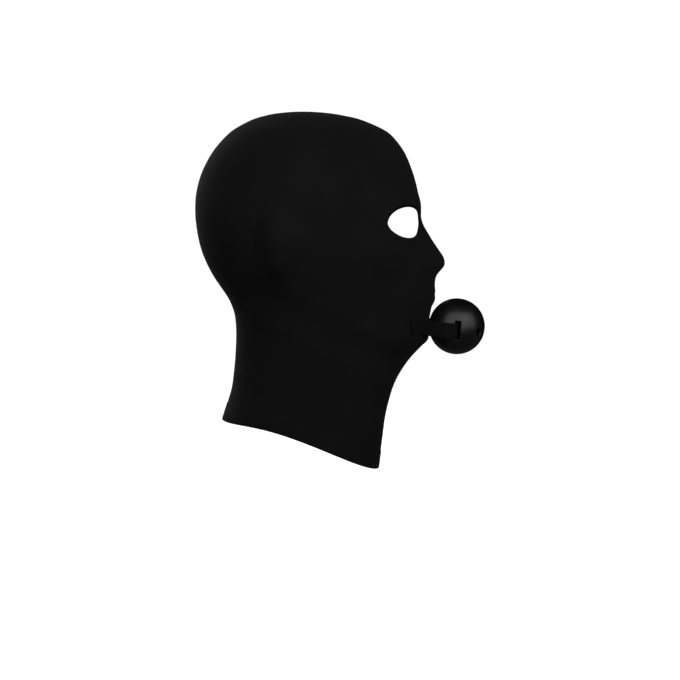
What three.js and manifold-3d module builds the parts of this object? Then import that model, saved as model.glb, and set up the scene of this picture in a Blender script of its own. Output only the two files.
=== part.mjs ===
// A black stretch-fabric hood that covers the whole head and neck, with two eye holes, and a hollow
// plastic ball held in front of the chin by one flat strap that is sewn to both cheeks.
// Millimetres. +X is the way the face looks, +Z is up, +Y is the wearer's left.
// The origin is inside the crown, where the top of the head meets the fabric.
import * as THREE from "three";
import { mergeVertices } from "three/addons/utils/BufferGeometryUtils.js";
import Module from "manifold-3d";

const wasm = await Module();
wasm.setup();

// Driving sizes of the hood
const HOOD_HEIGHT = 297.4; // crown to the lowest point of the hem, at the throat
const HEAD_LENGTH = 188; // back of the head to the brow
const HEAD_WIDTH = 148; // over the widest part, without the ears
const FABRIC = 1.2; // thickness of the fabric
const NOSE_REACH = 15; // how far the nose stands in front of the cheeks
const EAR_RISE = 9.5; // how far an ear lifts the fabric
const FACE_RELIEF = 3; // how deep the eye sockets are, and the measure of the face's other swellings
const JAW_GROOVE = 2.2; // how far the fabric sinks below the jaw
const HEM_WAVE = 1; // how far the hem rises behind and dips in front of a straight line
const HEM_RISE = 8.5; // how much higher the hem is at the sides than a straight line from back to front
const EYE_WIDTH = 50.5; // along the fabric
const EYE_HEIGHT = 27.8;
const EYE_SPACING = 71.5; // between the middles of the eye holes

// Driving sizes of the ball and its strap
const BALL_DIAMETER = 47;
const BALL_WALL = 3;
const BREATH_HOLE = 6;
const STRAP_WIDTH = 13.2;
const STRAP_THICKNESS = 1.4;
const STRAP_BEND = 1; // inner radius where it turns into the slot
const STRAP_BOW = 2.4; // how far its slack bows forward inside the ball
const STRAP_LIFT = 1.4; // how far its slack rises there
const SLOT_PLAY = 2.4; // how much taller a slot is than the strap
const SLOT_GAP = 3.6; // how much wider a slot is than the strap is thick
const SLOT_LOW = 2.4; // how far below the ball's middle its slots and holes lie
const TAB_LENGTH = 12; // the end of the strap that is sewn down
const TAB_INSET = 2; // how far inside the ball's side the strap leaves the cheek
const CLEARANCE = 0.35; // between pieces that touch on the real thing

// Places down the face, as shares of HOOD_HEIGHT, and turns of the ball
const EYE_DROP = 0.309;
const BALL_DROP = 0.602;
const TAB_DROP = 0.598;
const HOLE_TURN = 39; // degrees between neighbouring breathing holes
const BALL_PITCH = 5; // degrees that the ball nods forward on its strap
const EYE_TURN = 40; // degrees that an eye hole faces to the side
const HEM_START = 0.9; // share of the sections above which the hem's wave and rise have died out

// The sections of the hood from the crown to the hem. Each lies in a flat plane that tilts through its front
// and back points. front, back and widest are shares of HEAD_LENGTH from the crown's middle, front_drop and
// back_drop are shares of HOOD_HEIGHT below the crown, half is a share of HEAD_WIDTH, blunt_front and
// blunt_back say how square the curve is (2 is an ellipse), and rings is how many rings of facets lead to it.
const SECTION_COLUMNS = [
  "front", "front_drop", "back", "back_drop", "half", "widest", "blunt_front", "blunt_back", "rings",
];
const SECTIONS = [
  [0.165, 0.0088, -0.153, 0.0088, 0.150, -0.005, 2.0, 2.0, 2], // top of the crown
  [0.2516, 0.0212, -0.2202, 0.0212, 0.222, -0.008, 2.0, 2.0, 1],
  [0.3388, 0.0437, -0.2904, 0.0437, 0.300, -0.015, 2.0, 2.0, 1],
  [0.394, 0.0662, -0.339, 0.0670, 0.362, -0.020, 2.05, 2.0, 1],
  [0.4505, 0.1120, -0.3995, 0.1116, 0.430, -0.030, 2.1, 2.0, 2],
  [0.488, 0.1680, -0.447, 0.1670, 0.478, -0.045, 2.15, 2.0, 2], // forehead
  [0.512, 0.2240, -0.4725, 0.2230, 0.498, -0.055, 2.25, 2.05, 2],
  [0.523, 0.2800, -0.4785, 0.2760, 0.503, -0.060, 2.35, 2.1, 2], // brow
  [0.525, 0.3320, -0.473, 0.3230, 0.497, -0.050, 2.35, 2.1, 2], // eyes
  [0.537, 0.3860, -0.459, 0.3710, 0.480, -0.035, 2.3, 2.1, 3], // cheekbones
  [0.566, 0.4500, -0.436, 0.4140, 0.455, -0.020, 2.15, 2.1, 4], // under the nose
  [0.580, 0.5150, -0.401, 0.4580, 0.427, 0.000, 2.05, 2.1, 3], // lips
  [0.571, 0.5578, -0.366, 0.4910, 0.408, 0.015, 2.0, 2.15, 2],
  [0.5578, 0.6026, -0.331, 0.5240, 0.393, 0.030, 2.0, 2.2, 2], // front of the chin
  [0.5596, 0.6368, -0.308, 0.5600, 0.382, 0.050, 2.0, 2.2, 2], // lowest part of the chin
  [0.5266, 0.6594, -0.300, 0.5900, 0.376, 0.060, 2.0, 2.2, 1],
  [0.4766, 0.6933, -0.298, 0.6260, 0.371, 0.070, 2.0, 2.2, 1], // below the jaw
  [0.4282, 0.7387, -0.3005, 0.6700, 0.368, 0.060, 2.05, 2.2, 2],
  [0.3973, 0.7838, -0.306, 0.7150, 0.370, 0.046, 2.1, 2.2, 1], // throat
  [0.3697, 0.8517, -0.318, 0.7730, 0.382, 0.026, 2.1, 2.2, 2],
  [0.3553, 0.9193, -0.338, 0.8170, 0.402, 0.010, 2.1, 2.2, 2],
  [0.3390, 1.0000, -0.3596, 0.8615, 0.425, -0.012, 2.1, 2.2, 2], // hem
];

// The relief down the middle of the face. drop is a share of HOOD_HEIGHT, rise is how far it stands in front
// of the sections as a share of NOSE_REACH, and spread is half its breadth as a share of HEAD_WIDTH.
const PROFILE_COLUMNS = ["drop", "rise", "spread"];
const PROFILE = [
  [0.2600, 0.00, 0.10],
  [0.2922, 0.02, 0.10],
  [0.3151, 0.15, 0.10], // bridge
  [0.3376, 0.38, 0.105],
  [0.3601, 0.60, 0.12],
  [0.3826, 0.82, 0.14],
  [0.4052, 1.00, 0.16],
  [0.4223, 0.985, 0.175], // tip of the nose
  [0.4334, 0.87, 0.18],
  [0.4449, 0.62, 0.18],
  [0.4563, 0.38, 0.18],
  [0.4674, 0.25, 0.18], // under the nose
  [0.4850, 0.16, 0.19],
  [0.5013, 0.15, 0.20], // upper lip
  [0.5128, 0.11, 0.20], // between the lips
  [0.5239, 0.13, 0.20], // lower lip
  [0.5353, 0.08, 0.20],
  [0.5464, 0.00, 0.20],
  [0.6000, 0.00, 0.20],
];

// Swellings and hollows of both sides. x and the reaches ahead and behind are shares of HEAD_LENGTH, y and
// across are shares of HEAD_WIDTH, drop and the reaches above and below are shares of HOOD_HEIGHT, and rise,
// along the fabric's normal, is a share of FACE_RELIEF on the face and of EAR_RISE on the ears.
const SWELLING_COLUMNS = ["x", "y", "drop", "ahead", "behind", "across", "above", "below", "rise"];
const FACE_SWELLINGS = [
  [0.49, 0.22, 0.306, 0.16, 0.16, 0.20, 0.058, 0.062, -1.0], // eye sockets
  [0.50, 0.12, 0.262, 0.16, 0.16, 0.24, 0.045, 0.040, 0.45], // brow
  [0.38, 0.38, 0.392, 0.16, 0.16, 0.22, 0.070, 0.080, 0.80], // cheekbones
  [0.38, 0.34, 0.485, 0.16, 0.18, 0.20, 0.070, 0.080, -0.45], // hollows of the cheeks
];
const EAR_SWELLINGS = [
  [-0.105, 0.48, 0.365, 0.17, 0.085, 0.40, 0.105, 0.105, 1.0], // ears
  [-0.088, 0.44, 0.440, 0.09, 0.060, 0.30, 0.060, 0.046, 0.42], // lobes
];

// The groove under the jaw, from below the ear to below the chin, in shares of HEAD_LENGTH and HOOD_HEIGHT
const JAW = { back_x: -0.2, back_drop: 0.505, front_x: 0.36, front_drop: 0.69, reach: 0.062 };

// How finely the shapes are faceted
const COLUMNS = 50;
const FACE_CROWDING = 0.68; // 0 spaces the fabric's columns evenly, towards 1 crowds them to the face
const EYE_SIDES = 28;
const BALL_SIDES = 24;
const BALL_RINGS = 14;
const HOLE_SIDES = 10;
const BEND_STEPS = 5;
const RUN_STEPS = 8;
const TAB_STEPS = 4;

const degrees = (angle) => THREE.MathUtils.degToRad(angle);
const section = columnsOf(SECTION_COLUMNS, SECTIONS);
const profile = columnsOf(PROFILE_COLUMNS, PROFILE);
const swellings = [...measured(FACE_SWELLINGS, FACE_RELIEF), ...measured(EAR_SWELLINGS, EAR_RISE)];

// A table's columns by name.
function columnsOf(names, rows) {
  return Object.fromEntries(names.map((name, i) => [name, rows.map((row) => row[i])]));
}

// The rows of a table of swellings by name, with their rises in millimetres.
function measured(rows, unit) {
  return rows.map((row) => {
    const swelling = Object.fromEntries(SWELLING_COLUMNS.map((name, i) => [name, row[i]]));
    return { ...swelling, rise: swelling.rise * unit };
  });
}

// Smooth value at a place between the values of a column, by a Catmull-Rom curve.
function smooth(values, place) {
  const last = values.length - 1;
  const i = Math.min(Math.max(Math.floor(place), 0), last - 1);
  const t = place - i;
  const before = i > 0 ? values[i - 1] : 2 * values[0] - values[1];
  const after = i + 2 <= last ? values[i + 2] : 2 * values[last] - values[last - 1];
  const [here, next] = [values[i], values[i + 1]];
  const bend = 2 * before - 5 * here + 4 * next - after;
  const twist = 3 * (here - next) + after - before;
  return here + 0.5 * t * (next - before + t * (bend + t * twist));
}

// 1 in the middle, falling to 0 where s reaches 1.
function bump(s) {
  return Math.abs(s) < 1 ? (1 - s * s) ** 2 : 0;
}

// How far down the hood a point lies, as a share of its height.
function dropOf(p) {
  return (FABRIC - p.z) / HOOD_HEIGHT;
}

// How far the middle of the face stands forward of the sections at a point.
function profileRise(p) {
  const drop = dropOf(p);
  const last = profile.drop.length - 1;
  if (p.x < 0 || drop <= profile.drop[0] || drop >= profile.drop[last]) return 0;
  let i = 0;
  while (drop > profile.drop[i + 1]) i += 1;
  const place = i + (drop - profile.drop[i]) / (profile.drop[i + 1] - profile.drop[i]);
  const spread = HEAD_WIDTH * smooth(profile.spread, place);
  return NOSE_REACH * smooth(profile.rise, place) * bump(p.y / spread);
}

// The plain form without its relief. level runs from 0 at the crown to the number of sections at the hem, and
// turn from 0 in the middle of the face to 1 at the back of the head. side is 1 or -1.
function plainPoint(level, turn, side) {
  const value = (name) => smooth(section[name], Math.max(level - 1, 0));
  const cap = Math.min(level, 1); // above the first section the form closes to a point
  const front = value("front") * HEAD_LENGTH;
  const back = value("back") * HEAD_LENGTH;
  const widest = value("widest") * HEAD_LENGTH;
  const [cos, sin] = [Math.cos(Math.PI * turn), Math.sin(Math.PI * turn)];
  const power = 2 / value(cos >= 0 ? "blunt_front" : "blunt_back");
  const reach = cos >= 0 ? front - widest : back - widest;
  const along = widest + reach * Math.abs(cos) ** power;
  const out = value("half") * HEAD_WIDTH * Math.abs(sin) ** power;
  const share = (along - back) / (front - back);
  const flat = HOOD_HEIGHT * (value("back_drop") + share * (value("front_drop") - value("back_drop")));
  const nearHem = Math.max(level / SECTIONS.length - HEM_START, 0) / (1 - HEM_START);
  const lift = HEM_WAVE * Math.sin(2 * Math.PI * share) + HEM_RISE * Math.abs(sin) ** (3 * power);
  const drop = flat - lift * nearHem;
  return new THREE.Vector3(along * cap, side * out * cap, FABRIC - drop * cap * cap);
}

// How far swellings and hollows lift a point of the plain form along its normal.
function reliefAt(p) {
  const drop = dropOf(p);
  let lift = 0;
  for (const s of swellings) {
    const dx = p.x / HEAD_LENGTH - s.x;
    const dy = Math.abs(p.y) / HEAD_WIDTH - s.y;
    const dz = drop - s.drop;
    const alongX = dx / (dx > 0 ? s.ahead : s.behind);
    const alongZ = dz / (dz > 0 ? s.below : s.above);
    lift += s.rise * bump(Math.hypot(alongX, dy / s.across, alongZ));
  }
  const start = new THREE.Vector2(JAW.back_x * HEAD_LENGTH, JAW.back_drop * HOOD_HEIGHT);
  const run = new THREE.Vector2(JAW.front_x * HEAD_LENGTH, JAW.front_drop * HOOD_HEIGHT).sub(start);
  const place = new THREE.Vector2(p.x, drop * HOOD_HEIGHT);
  const along = THREE.MathUtils.clamp(place.clone().sub(start).dot(run) / run.lengthSq(), 0, 1);
  const fromGroove = place.distanceTo(start.addScaledVector(run, along));
  return lift - JAW_GROOVE * bump(fromGroove / (JAW.reach * HOOD_HEIGHT));
}

const SLOPE_STEP = 0.004; // of a level or a turn

// The outward normal of a surface function.
function normalOf(surface, level, turn, side) {
  if (level < SLOPE_STEP) return new THREE.Vector3(0, 0, 1);
  const [low, high] = [Math.max(turn - SLOPE_STEP, 0), Math.min(turn + SLOPE_STEP, 1)];
  const down = surface(level + SLOPE_STEP, turn, side).sub(surface(level - SLOPE_STEP, turn, side));
  const round = surface(level, high, side).sub(surface(level, low, side));
  if (low === 0 || high === 1) round.x = 0; // both sides meet squarely on the middle line
  return down.cross(round).multiplyScalar(side).normalize();
}

// A point of the fabric's outer face.
function fabricPoint(level, turn, side) {
  const p = plainPoint(level, turn, side);
  const lift = reliefAt(p);
  if (lift !== 0) p.addScaledVector(normalOf(plainPoint, level, turn, side), lift);
  p.x += profileRise(p);
  return p;
}

// The levels of the rings of facets, from the crown to the hem.
function ringLevels() {
  const levels = [];
  section.rings.forEach((count, i) => {
    for (let k = 1; k <= count; k += 1) levels.push(i + k / count);
  });
  return levels;
}

// The fabric's face at a depth below its outer face, as rings of points.
function fabricRings(depth) {
  return ringLevels().map((level) => {
    const ring = [];
    for (let j = 0; j < COLUMNS; j += 1) {
      const side = 2 * j <= COLUMNS ? 1 : -1;
      const even = side > 0 ? (2 * j) / COLUMNS : 2 - (2 * j) / COLUMNS;
      const turn = even - (FACE_CROWDING * Math.sin(Math.PI * even)) / Math.PI;
      const p = fabricPoint(level, turn, side);
      ring.push(depth > 0 ? p.addScaledVector(normalOf(fabricPoint, level, turn, side), -depth) : p);
    }
    return ring;
  });
}

// A solid from a closed three.js geometry.
function solidFrom(geometry) {
  const bare = geometry.clone();
  bare.deleteAttribute("normal");
  bare.deleteAttribute("uv");
  const merged = mergeVertices(bare, 1e-3);
  const vertProperties = merged.attributes.position.array;
  const triVerts = new Uint32Array(merged.index.array);
  return new wasm.Manifold(new wasm.Mesh({ numProp: 3, vertProperties, triVerts }));
}

// A solid from points and triangles.
function solidOf(points, triangles) {
  const geometry = new THREE.BufferGeometry().setFromPoints(points);
  geometry.setIndex(triangles.flat());
  return solidFrom(geometry);
}

// A three.js geometry from a solid.
function geometryOf(solid) {
  const mesh = solid.getMesh();
  const geometry = new THREE.BufferGeometry();
  geometry.setAttribute("position", new THREE.BufferAttribute(new Float32Array(mesh.vertProperties), 3));
  geometry.setIndex(new THREE.BufferAttribute(new Uint32Array(mesh.triVerts), 1));
  geometry.computeVertexNormals();
  return geometry;
}

// The fabric's wall: outer and inner rings, a point at the crown of each face, and the hem between them.
function fabricWall() {
  const outer = fabricRings(0);
  const inner = fabricRings(FABRIC).flat();
  const rings = outer.length;
  const points = [...outer.flat(), ...inner, new THREE.Vector3(0, 0, FABRIC), new THREE.Vector3(0, 0, 0)];
  const [outerCrown, innerCrown] = [points.length - 2, points.length - 1];
  const deep = inner.length; // an inner point's number is its outer point's number plus this
  const triangles = [];
  for (let j = 0; j < COLUMNS; j += 1) {
    const k = (j + 1) % COLUMNS;
    triangles.push([outerCrown, j, k], [innerCrown, deep + k, deep + j]);
    for (let i = 0; i < rings - 1; i += 1) {
      const [a, b, c, d] = [i * COLUMNS + j, i * COLUMNS + k, (i + 1) * COLUMNS + k, (i + 1) * COLUMNS + j];
      triangles.push([a, d, c], [a, c, b], [deep + a, deep + c, deep + d], [deep + a, deep + b, deep + c]);
    }
    const [e, f] = [(rings - 1) * COLUMNS + j, (rings - 1) * COLUMNS + k];
    triangles.push([e, deep + e, deep + f], [e, deep + f, f]);
  }
  return solidOf(points, triangles);
}

// The level at which the fabric is at a height, on a turn.
function levelAt(turn, z, side) {
  let [low, high] = [0, SECTIONS.length];
  for (let i = 0; i < 30; i += 1) {
    const middle = (low + high) / 2;
    if (fabricPoint(middle, turn, side).z > z) low = middle;
    else high = middle;
  }
  return low;
}

// The turn at which the fabric is at a distance y from the middle, at a height.
function turnAt(y, z) {
  let [low, high] = [0, 0.5];
  for (let i = 0; i < 30; i += 1) {
    const middle = (low + high) / 2;
    if (fabricPoint(levelAt(middle, z, 1), middle, 1).y < y) low = middle;
    else high = middle;
  }
  return low;
}

// A cutter for one eye hole: an oval bar that faces forwards and to one side.
function eyeCutter(side) {
  const height = FABRIC - EYE_DROP * HOOD_HEIGHT;
  const turn = turnAt(EYE_SPACING / 2, height);
  const middle = fabricPoint(levelAt(turn, height, side), turn, side);
  const oval = new THREE.Shape().absellipse(0, 0, EYE_WIDTH / 2, EYE_HEIGHT / 2, 0, 2 * Math.PI);
  const depth = EYE_WIDTH;
  const bar = new THREE.ExtrudeGeometry(oval, { depth, bevelEnabled: false, curveSegments: EYE_SIDES / 2 });
  bar.translate(0, 0, -depth / 2);
  bar.rotateX(degrees(90));
  bar.rotateZ(degrees(90 + side * EYE_TURN));
  bar.translate(middle.x, middle.y, middle.z);
  return solidFrom(bar);
}

function hoodSolid() {
  return fabricWall().subtract(eyeCutter(1)).subtract(eyeCutter(-1));
}

// The ball's middle: at its drop on the face, pushed back until it is a clearance from the fabric.
function ballMiddle() {
  const z = FABRIC - BALL_DROP * HOOD_HEIGHT;
  const radius = BALL_DIAMETER / 2;
  let x = 0;
  for (let level = 0; level < SECTIONS.length; level += 0.05) {
    const p = fabricPoint(level, 0, 1);
    if (Math.abs(p.z - z) < radius) x = Math.max(x, p.x + Math.sqrt(radius ** 2 - (p.z - z) ** 2));
  }
  return new THREE.Vector3(x + CLEARANCE, 0, z);
}

const ball = ballMiddle();
const slotHeight = STRAP_WIDTH + SLOT_PLAY;
const slotWidth = STRAP_THICKNESS + SLOT_GAP;

// Takes a shape from the ball's own frame, middle at the origin, to its place on the strap.
function placeOnStrap(geometry) {
  return solidFrom(geometry.rotateY(degrees(BALL_PITCH)).translate(ball.x, ball.y, ball.z));
}

// A cutter for both slots: a bar right through the ball from side to side.
function slotCutter() {
  const bar = new THREE.BoxGeometry(slotWidth, BALL_DIAMETER * 1.1, slotHeight);
  return placeOnStrap(bar.translate(0, 0, -SLOT_LOW));
}

// A cutter for one breathing hole, on a ray from the ball's middle line, turned from straight ahead.
function holeCutter(turn) {
  const bar = new THREE.CylinderGeometry(BREATH_HOLE / 2, BREATH_HOLE / 2, BALL_DIAMETER / 2, HOLE_SIDES);
  bar.rotateZ(degrees(90));
  bar.translate(BALL_DIAMETER / 2, 0, -SLOT_LOW);
  bar.rotateZ(degrees(turn));
  return placeOnStrap(bar);
}

function ballSolid() {
  const radius = BALL_DIAMETER / 2;
  const shell = new THREE.SphereGeometry(radius, BALL_SIDES, BALL_RINGS);
  const hollow = new THREE.SphereGeometry(radius - BALL_WALL, BALL_SIDES, BALL_RINGS);
  let solid = placeOnStrap(shell).subtract(placeOnStrap(hollow)).subtract(slotCutter());
  for (const row of [0, 180]) {
    for (const turn of [-HOLE_TURN, 0, HOLE_TURN]) solid = solid.subtract(holeCutter(row + turn));
  }
  return solid;
}

// One place along the strap: the middle of its inner face, its unit width and its unit outward direction.
function station(middle, across, outward) {
  const half = across.clone().multiplyScalar(STRAP_WIDTH / 2);
  const inner = [middle.clone().add(half), middle.clone(), middle.clone().sub(half)];
  const outer = inner.map((p) => p.clone().addScaledVector(outward, STRAP_THICKNESS));
  return [...inner, ...outer.reverse()];
}

// Places along the end that is sewn down on the left cheek, from its front to its end.
function tabStations() {
  const z = FABRIC - TAB_DROP * HOOD_HEIGHT;
  const first = turnAt(BALL_DIAMETER / 2 - TAB_INSET, z);
  const edges = (turn) => [1, 0, -1].map((up) => {
    const level = levelAt(turn, z + (up * STRAP_WIDTH) / 2, 1);
    const normal = normalOf(fabricPoint, level, turn, 1);
    return { p: fabricPoint(level, turn, 1).addScaledVector(normal, CLEARANCE), normal };
  });
  const stations = [];
  const step = 0.0005;
  let gone = 0;
  for (let turn = first; stations.length <= TAB_STEPS; turn += step) {
    if (gone >= (stations.length * TAB_LENGTH) / TAB_STEPS) {
      const inner = edges(turn);
      const outer = inner.map(({ p, normal }) => p.clone().addScaledVector(normal, STRAP_THICKNESS));
      stations.push([...inner.map(({ p }) => p), ...outer.reverse()]);
    }
    const here = fabricPoint(levelAt(turn, z, 1), turn, 1);
    gone += here.distanceTo(fabricPoint(levelAt(turn + step, z, 1), turn + step, 1));
  }
  return stations;
}

// Places along the left half of the strap, from the middle of the ball to the sewn end.
function halfStrap() {
  const hinge = new THREE.Vector3(0, 1, 0);
  const nod = (x, y, z) => new THREE.Vector3(x, y, z).applyAxisAngle(hinge, degrees(BALL_PITCH));
  const up = nod(0, 0, 1);
  const x = CLEARANCE - slotWidth / 2; // against the rear edge of the slot
  const z = CLEARANCE - SLOT_LOW - SLOT_PLAY / 2; // at the foot of the slot
  const lip = Math.sqrt((BALL_DIAMETER / 2) ** 2 - (slotWidth / 2) ** 2);
  const stations = [0, 0.5].map((share) => {
    const slack = 1 - share ** 2;
    const middle = nod(x + STRAP_BOW * slack, lip * share, z + STRAP_LIFT * slack).add(ball);
    return station(middle, up, nod(1, 0, 0));
  });
  for (let i = 0; i <= BEND_STEPS; i += 1) {
    const angle = (Math.PI / 2) * (i / BEND_STEPS);
    const outward = nod(Math.cos(angle), Math.sin(angle), 0);
    const middle = nod(x - STRAP_BEND, lip, z).add(ball).addScaledVector(outward, STRAP_BEND);
    stations.push(station(middle, up, outward));
  }
  const tab = tabStations();
  const [top, middle, bottom] = tab[0];
  const bendEnd = nod(x - STRAP_BEND, lip + STRAP_BEND, z).add(ball);
  const reach = bendEnd.x - middle.x;
  const along = middle.clone().sub(tab[1][1]).normalize();
  const curve = new THREE.CubicBezierCurve3(
    bendEnd,
    bendEnd.clone().add(new THREE.Vector3(-reach / 2, 0, 0)),
    middle.clone().addScaledVector(along, reach / 8),
    middle,
  );
  const tabUp = top.clone().sub(bottom).normalize();
  for (let i = 1; i < RUN_STEPS; i += 1) {
    const t = i / RUN_STEPS;
    const across = up.clone().lerp(tabUp, t).normalize();
    const outward = curve.getTangent(t).cross(across).normalize();
    stations.push(station(curve.getPoint(t), across, outward));
  }
  return [...stations, ...tab];
}

// The strap from the right cheek through the ball to the left cheek.
function strapSolid() {
  const left = halfStrap();
  const right = left.slice(1).map((points) => points.map((p) => new THREE.Vector3(p.x, -p.y, p.z)));
  const stations = [...right.reverse(), ...left];
  const corners = stations[0].length;
  const triangles = [];
  for (let i = 0; i < stations.length - 1; i += 1) {
    for (let j = 0; j < corners; j += 1) {
      const k = (j + 1) % corners;
      const [a, b, c, d] = [i * corners + j, (i + 1) * corners + j, (i + 1) * corners + k, i * corners + k];
      triangles.push([a, b, c], [a, c, d]);
    }
  }
  const end = (stations.length - 1) * corners;
  for (const [a, b, c, d] of [[0, 1, 4, 5], [1, 2, 3, 4]]) {
    triangles.push([a, b, c], [a, c, d], [end + a, end + c, end + b], [end + a, end + d, end + c]);
  }
  return solidOf(stations.flat(), triangles);
}

const fabric = new THREE.MeshStandardMaterial({ color: 0x0d0d0e, roughness: 0.85, metalness: 0 });
const webbing = new THREE.MeshStandardMaterial({ color: 0x101011, roughness: 0.7, metalness: 0 });
const plastic = new THREE.MeshStandardMaterial({ color: 0x08080a, roughness: 0.25, metalness: 0 });

const root = new THREE.Group();

function add(name, solid, material) {
  const mesh = new THREE.Mesh(geometryOf(solid), material);
  mesh.name = name;
  root.add(mesh);
}

add("hood", hoodSolid(), fabric);
add("gag_strap", strapSolid(), webbing);
add("gag_ball", ballSolid(), plastic);

export default root;
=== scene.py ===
"""A black stretch-fabric hood with eye holes, and a hollow ball on a flat strap sewn to both cheeks.

Metres. +X is the way the face looks, +Z is up, +Y is the wearer's left. The origin is inside the crown.
"""
import math

import bmesh
import bpy
import numpy as np
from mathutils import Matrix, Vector
from mathutils.bvhtree import BVHTree


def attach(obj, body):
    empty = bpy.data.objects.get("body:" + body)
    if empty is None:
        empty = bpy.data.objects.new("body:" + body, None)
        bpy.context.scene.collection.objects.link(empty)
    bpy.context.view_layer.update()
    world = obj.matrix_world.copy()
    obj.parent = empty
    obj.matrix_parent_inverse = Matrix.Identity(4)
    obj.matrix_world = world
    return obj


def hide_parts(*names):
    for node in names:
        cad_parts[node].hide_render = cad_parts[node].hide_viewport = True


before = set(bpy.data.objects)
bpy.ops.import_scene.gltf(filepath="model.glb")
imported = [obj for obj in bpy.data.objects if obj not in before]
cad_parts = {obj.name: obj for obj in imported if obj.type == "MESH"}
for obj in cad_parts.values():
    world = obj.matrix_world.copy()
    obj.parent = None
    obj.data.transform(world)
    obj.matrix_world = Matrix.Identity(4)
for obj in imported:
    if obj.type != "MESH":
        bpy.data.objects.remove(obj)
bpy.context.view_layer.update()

MM = 0.001

# Driving sizes of the hood
HOOD_HEIGHT = 297.4 * MM  # crown to the lowest point of the hem, at the throat
HEAD_LENGTH = 188 * MM  # back of the head to the brow
HEAD_WIDTH = 148 * MM  # over the widest part, without the ears
FABRIC = 1.2 * MM  # thickness of the fabric
NOSE_REACH = 15 * MM
EAR_RISE = 9.5 * MM
FACE_RELIEF = 3 * MM
JAW_GROOVE = 2.2 * MM
HEM_WAVE = 1 * MM  # how far the hem rises behind and dips in front of a straight line
HEM_RISE = 8.5 * MM  # how much higher it is at the sides
HEM_START = 0.9  # share of the sections above which the hem's wave and rise have died out
EYE_WIDTH = 50.5 * MM
EYE_HEIGHT = 27.8 * MM
EYE_SPACING = 71.5 * MM
EYE_DROP = 0.309  # of HOOD_HEIGHT
EYE_TURN = math.radians(40)

# Sewing of the hood
HEM_BAND = 13 * MM  # height of the turned-up hem
EYE_BAND = 5 * MM  # breadth of the turned edge of an eye hole
FOLD_RISE = 0.45 * MM  # how much a turned edge stands proud of the single fabric
FOLD_SLOPE = 1.0 * MM  # over which it comes back to the single fabric
HEM_ROWS = (8.5 * MM, 11 * MM)  # rows of stitches above the edge
EYE_ROWS = (3.4 * MM,)
ROW_DENT = 0.22 * MM  # how far a row pulls the fabric in
ROW_REACH = 1.1 * MM
SEAM_DEPTH = 0.45 * MM  # the middle seam, over the face and the crown to the nape
SEAM_HALF = 1.1 * MM

# Driving sizes of the ball and its strap
BALL_DIAMETER = 47 * MM
BALL_WALL = 3 * MM
BREATH_HOLE = 6 * MM
BALL_DROP = 0.602
BALL_PITCH = math.radians(5)
HOLE_TURN = math.radians(39)
STRAP_WIDTH = 13.2 * MM
STRAP_THICKNESS = 1.4 * MM
STRAP_BEND = 1 * MM
STRAP_BOW = 2.4 * MM  # how far its slack bows forward inside the ball
STRAP_LIFT = 1.4 * MM  # how far it rises there
SLOT_PLAY = 2.4 * MM
SLOT_GAP = 3.6 * MM
SLOT_LOW = 2.4 * MM
TAB_LENGTH = 12 * MM
TAB_INSET = 2 * MM
TAB_DROP = 0.598
CLEARANCE = 0.35 * MM

# The sections of the hood from the crown to the hem. front, back and widest are shares of HEAD_LENGTH,
# front_drop and back_drop are shares of HOOD_HEIGHT below the crown, half is a share of HEAD_WIDTH, and
# blunt_front and blunt_back say how square the curve is (2 is an ellipse).
SECTION_COLUMNS = ("front", "front_drop", "back", "back_drop", "half", "widest", "blunt_front", "blunt_back")
SECTIONS = (
    (0.165, 0.0088, -0.153, 0.0088, 0.150, -0.005, 2.0, 2.0),  # top of the crown
    (0.2516, 0.0212, -0.2202, 0.0212, 0.222, -0.008, 2.0, 2.0),
    (0.3388, 0.0437, -0.2904, 0.0437, 0.300, -0.015, 2.0, 2.0),
    (0.394, 0.0662, -0.339, 0.0670, 0.362, -0.020, 2.05, 2.0),
    (0.4505, 0.1120, -0.3995, 0.1116, 0.430, -0.030, 2.1, 2.0),
    (0.488, 0.1680, -0.447, 0.1670, 0.478, -0.045, 2.15, 2.0),  # forehead
    (0.512, 0.2240, -0.4725, 0.2230, 0.498, -0.055, 2.25, 2.05),
    (0.523, 0.2800, -0.4785, 0.2760, 0.503, -0.060, 2.35, 2.1),  # brow
    (0.525, 0.3320, -0.473, 0.3230, 0.497, -0.050, 2.35, 2.1),  # eyes
    (0.537, 0.3860, -0.459, 0.3710, 0.480, -0.035, 2.3, 2.1),  # cheekbones
    (0.566, 0.4500, -0.436, 0.4140, 0.455, -0.020, 2.15, 2.1),  # under the nose
    (0.580, 0.5150, -0.401, 0.4580, 0.427, 0.000, 2.05, 2.1),  # lips
    (0.571, 0.5578, -0.366, 0.4910, 0.408, 0.015, 2.0, 2.15),
    (0.5578, 0.6026, -0.331, 0.5240, 0.393, 0.030, 2.0, 2.2),  # front of the chin
    (0.5596, 0.6368, -0.308, 0.5600, 0.382, 0.050, 2.0, 2.2),  # lowest part of the chin
    (0.5266, 0.6594, -0.300, 0.5900, 0.376, 0.060, 2.0, 2.2),
    (0.4766, 0.6933, -0.298, 0.6260, 0.371, 0.070, 2.0, 2.2),  # below the jaw
    (0.4282, 0.7387, -0.3005, 0.6700, 0.368, 0.060, 2.05, 2.2),
    (0.3973, 0.7838, -0.306, 0.7150, 0.370, 0.046, 2.1, 2.2),  # throat
    (0.3697, 0.8517, -0.318, 0.7730, 0.382, 0.026, 2.1, 2.2),
    (0.3553, 0.9193, -0.338, 0.8170, 0.402, 0.010, 2.1, 2.2),
    (0.3390, 1.0000, -0.3596, 0.8615, 0.425, -0.012, 2.1, 2.2),  # hem
)
HEM = len(SECTIONS)  # the hem's level; the crown is level 0

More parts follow.
